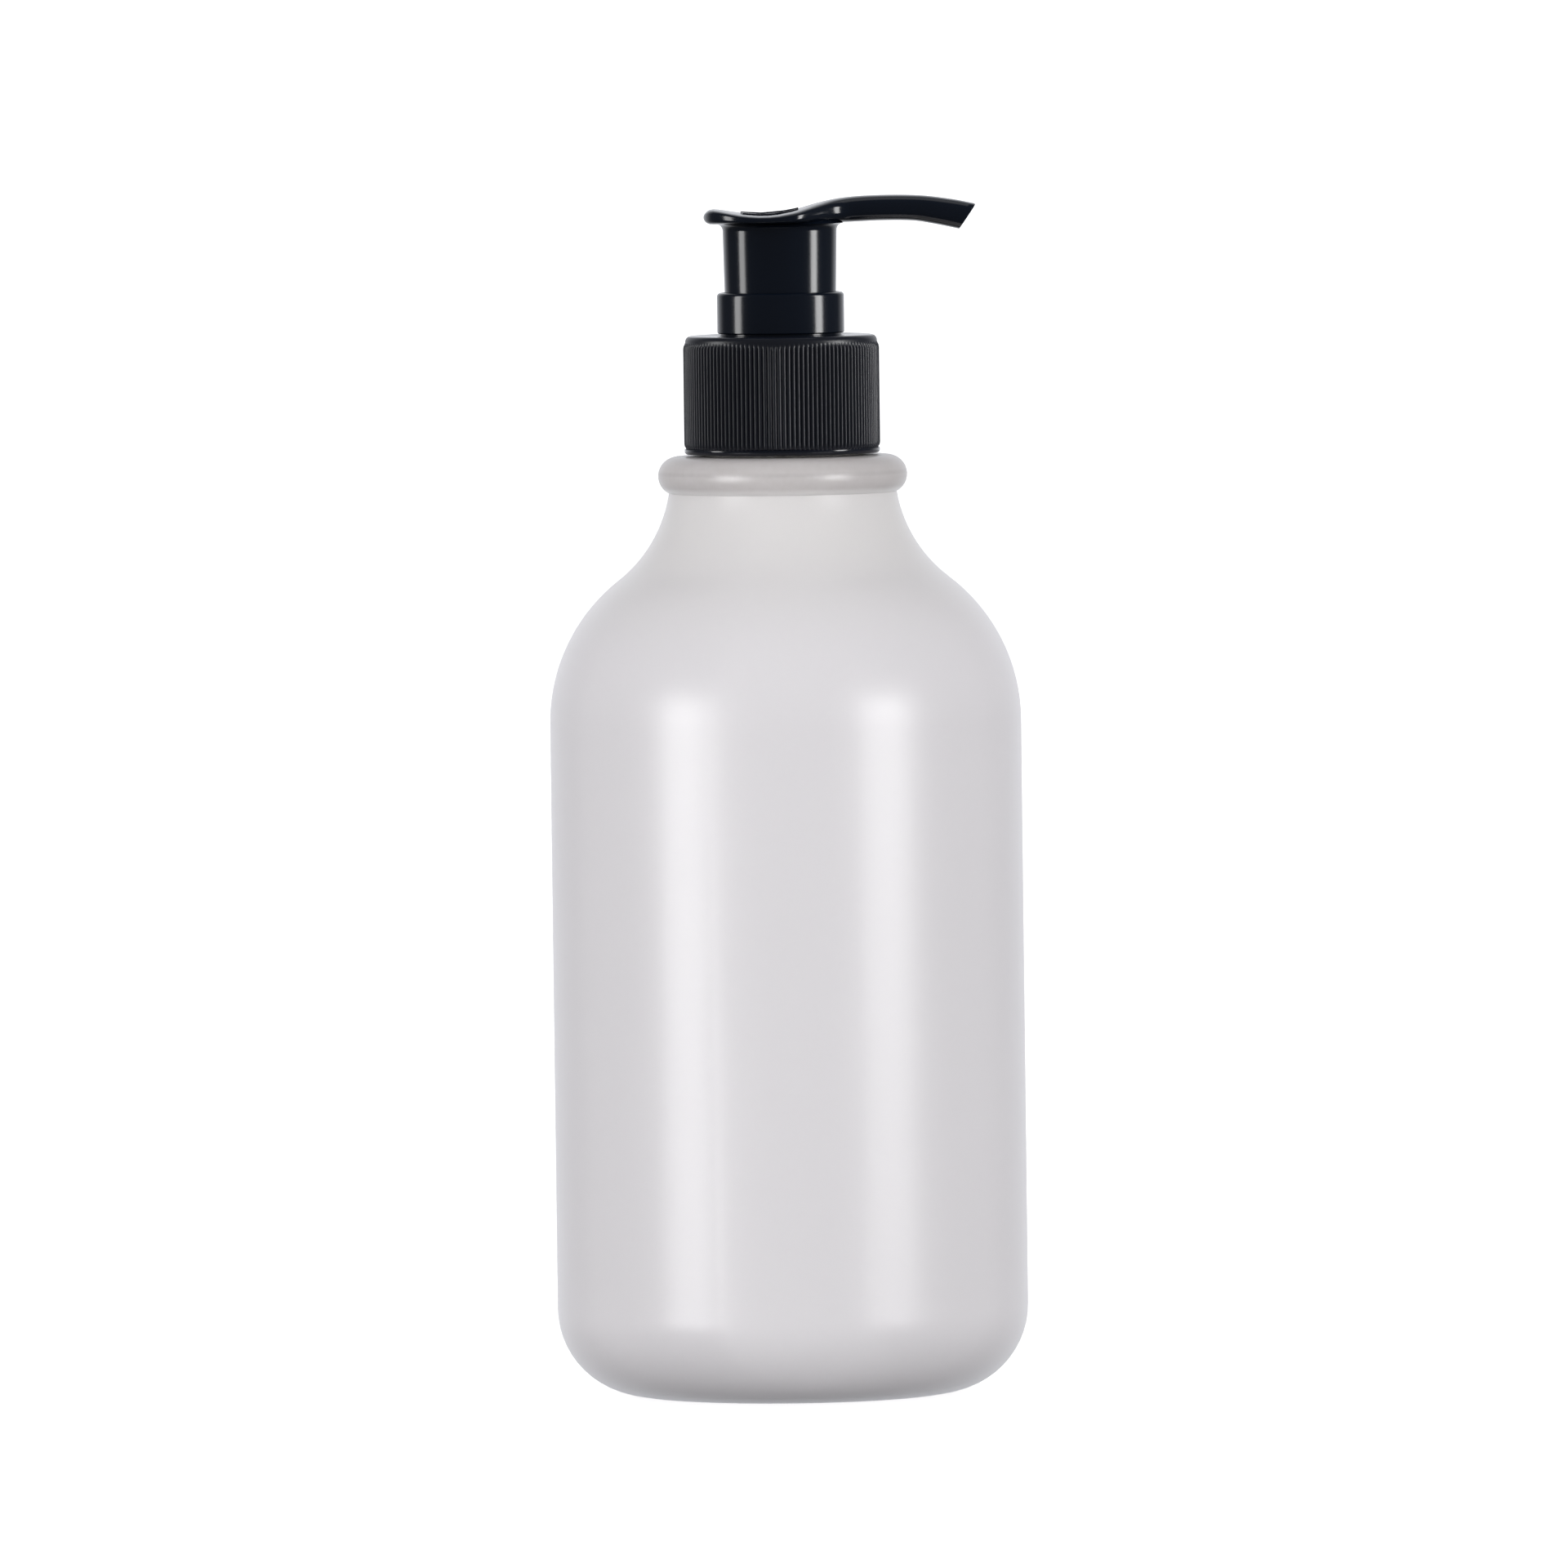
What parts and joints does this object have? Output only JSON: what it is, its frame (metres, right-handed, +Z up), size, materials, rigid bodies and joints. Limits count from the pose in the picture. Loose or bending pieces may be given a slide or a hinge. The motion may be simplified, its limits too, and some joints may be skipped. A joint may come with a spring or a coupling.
{
  "type": "lotion pump bottle",
  "caption": "Frosted milk-bottle shaped lotion bottle with a flared neck ring, a ribbed black screw closure and a black pump with a saddle head and arched spout.",
  "frame": {"origin": "centre of the flat ring that the bottle stands on", "axes": "+Z up along the bottle's axis, +X towards the spout's tip"},
  "size_m": [0.076, 0.076, 0.1931],
  "materials": {
    "frosted_bottle": "frosted translucent, pearly",
    "black_satin": "satin moulded",
    "black_gloss": "polished moulded",
    "natural_plastic": "natural translucent",
    "white_plastic": "smooth moulded",
    "gasket_foam": "fine closed-cell foam",
    "spring_steel": "bright drawn wire",
    "ball_glass": "polished"
  },
  "bodies": {
    "bottle": {"bottle": "frosted_bottle"},
    "pump_core": {"neck_gasket": "gasket_foam", "housing": "natural_plastic", "lock_collar": "black_gloss", "return_spring": "spring_steel", "dip_tube": "natural_plastic"},
    "screw_closure": {"closure": "black_satin"},
    "plunger": {"stem": "white_plastic", "piston_rod": "white_plastic"},
    "head": {"actuator_head": "black_gloss"},
    "shuttle_piston": {"piston": "natural_plastic"},
    "valve_ball": {"inlet_ball": "ball_glass"}
  },
  "joints": [
    {"name": "thread_rise", "type": "slide", "parent": "bottle", "child": "pump_core", "axis": [0, 0, 1], "range_m": [0, 0.00635]},
    {"name": "closure_turn", "type": "hinge", "parent": "pump_core", "child": "screw_closure", "pos_m": [0, 0, 0.1517], "axis": [0, 0, 1], "range_deg": [0, 540]},
    {"name": "head_press", "type": "slide", "parent": "pump_core", "child": "plunger", "axis": [0, 0, -1], "range_m": [0, 0.01], "stiffness_N_per_m": 600, "springref_m": -0.01, "deforming": ["return_spring"]},
    {"name": "head_turn", "type": "hinge", "parent": "plunger", "child": "head", "pos_m": [0, 0, 0.17535], "axis": [0, 0, 1], "range_deg": [-90, 0]},
    {"name": "piston_slip", "type": "slide", "parent": "plunger", "child": "shuttle_piston", "axis": [0, 0, 1], "range_m": [0, 0.001]},
    {"name": "ball_lift", "type": "slide", "parent": "pump_core", "child": "valve_ball", "axis": [0, 0, 1], "range_m": [0, 0.0015]}
  ],
  "couplings": [
    {"joint": "closure_turn", "follows": "thread_rise", "rad_per_m": 1484.3}
  ]
}
